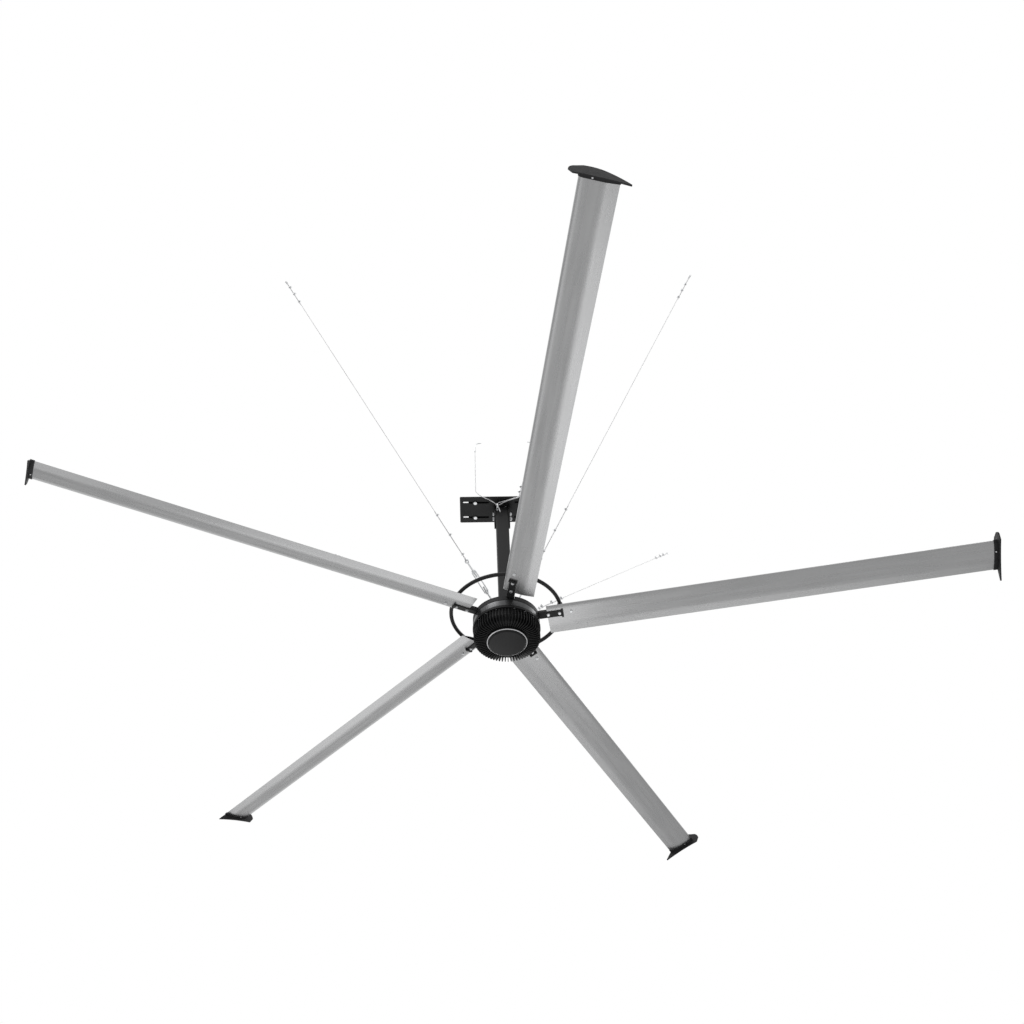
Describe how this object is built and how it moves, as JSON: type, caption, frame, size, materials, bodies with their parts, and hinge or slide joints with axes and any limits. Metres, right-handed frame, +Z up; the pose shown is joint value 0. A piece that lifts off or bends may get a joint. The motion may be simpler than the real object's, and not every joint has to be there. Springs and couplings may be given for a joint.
{
  "type": "industrial ceiling fan",
  "caption": "Large slow ceiling fan on a square drop mast: long silver blades with black winglets on a finned direct-drive hub, held to a beam plate with stay wires, safety cable and hoop.",
  "frame": {"origin": "centre of the mounting plate's upper face, which lies under a beam's flange", "axes": "+X along the plate's long side, +Y away from the picture's viewer, +Z up along the mast and the rotor's axis"},
  "size_m": [5.802, 5.756, 2.4252],
  "materials": {
    "black_coat": "satin black powder coat on steel",
    "black_casting": "black anodised aluminium casting, satin",
    "black_gloss": "smooth semi-gloss black paint",
    "blade_aluminium": "satin anodised extrusion",
    "winglet_plastic": "fine-grained moulded black plastic",
    "zinc_steel": "bright zinc plate",
    "wire_rope": "stranded galvanised steel wire",
    "machined_steel": "turned steel",
    "core_steel": "blackened steel",
    "copper": "varnished copper winding",
    "magnet": "nickel-plated magnet block",
    "seal_rubber": "moulded rubber",
    "black_nylon": "moulded nylon"
  },
  "bodies": {
    "mount_and_stator": {"mounting_plate": "black_coat", "beam_clamps": "black_coat", "beam_clamp_bolts": "zinc_steel", "beam_clamp_nuts": "zinc_steel", "clevis_bracket": "black_coat", "clevis_bolts": "zinc_steel", "clevis_nuts": "zinc_steel", "mast": "black_coat", "mast_flange_bolts": "zinc_steel", "cable_gland": "black_nylon", "motor_shaft": "machined_steel", "stator_core": "core_steel", "stator_windings": "copper", "bearing_inner_races": "machined_steel", "shaft_nut": "machined_steel", "guy_wire_1": "wire_rope", "guy_wire_2": "wire_rope", "guy_wire_3": "wire_rope", "guy_wire_4": "wire_rope", "wire_thimbles": "zinc_steel", "wire_grip_saddles": "zinc_steel", "wire_grip_ubolts": "zinc_steel", "turnbuckle_jaws": "zinc_steel", "turnbuckle_bodies": "zinc_steel", "turnbuckle_eyes": "zinc_steel", "safety_eye": "zinc_steel", "safety_cable_left": "wire_rope", "safety_cable_right": "wire_rope", "safety_hooks": "zinc_steel"},
    "rotor": {"rotor_housing": "black_casting", "hub_top_cover": "black_casting", "shaft_seal": "seal_rubber", "rotor_yoke_ring": "core_steel", "rotor_magnets": "magnet", "finned_cover": "black_casting", "hub_cap": "black_gloss", "cap_lock_screw": "zinc_steel", "housing_screws": "zinc_steel", "cover_screws": "zinc_steel", "bearing_outer_races": "machined_steel", "bearing_balls": "machined_steel", "blade_struts": "black_coat", "strut_bolts": "zinc_steel", "blade_clamp_plates": "black_coat", "blade_1": "blade_aluminium", "blade_2": "blade_aluminium", "blade_3": "blade_aluminium", "blade_4": "blade_aluminium", "blade_5": "blade_aluminium", "blade_bolts": "zinc_steel", "blade_nuts": "zinc_steel", "winglet_1": "winglet_plastic", "winglet_2": "winglet_plastic", "winglet_3": "winglet_plastic", "winglet_4": "winglet_plastic", "winglet_5": "winglet_plastic", "winglet_screws": "zinc_steel", "safety_hoop": "black_coat", "hoop_brackets": "black_coat"}
  },
  "joints": [
    {"name": "rotor_spin", "type": "hinge", "parent": "mount_and_stator", "child": "rotor", "pos_m": [0, 0, -1.1], "axis": [0, 0, 1], "continuous": true}
  ]
}
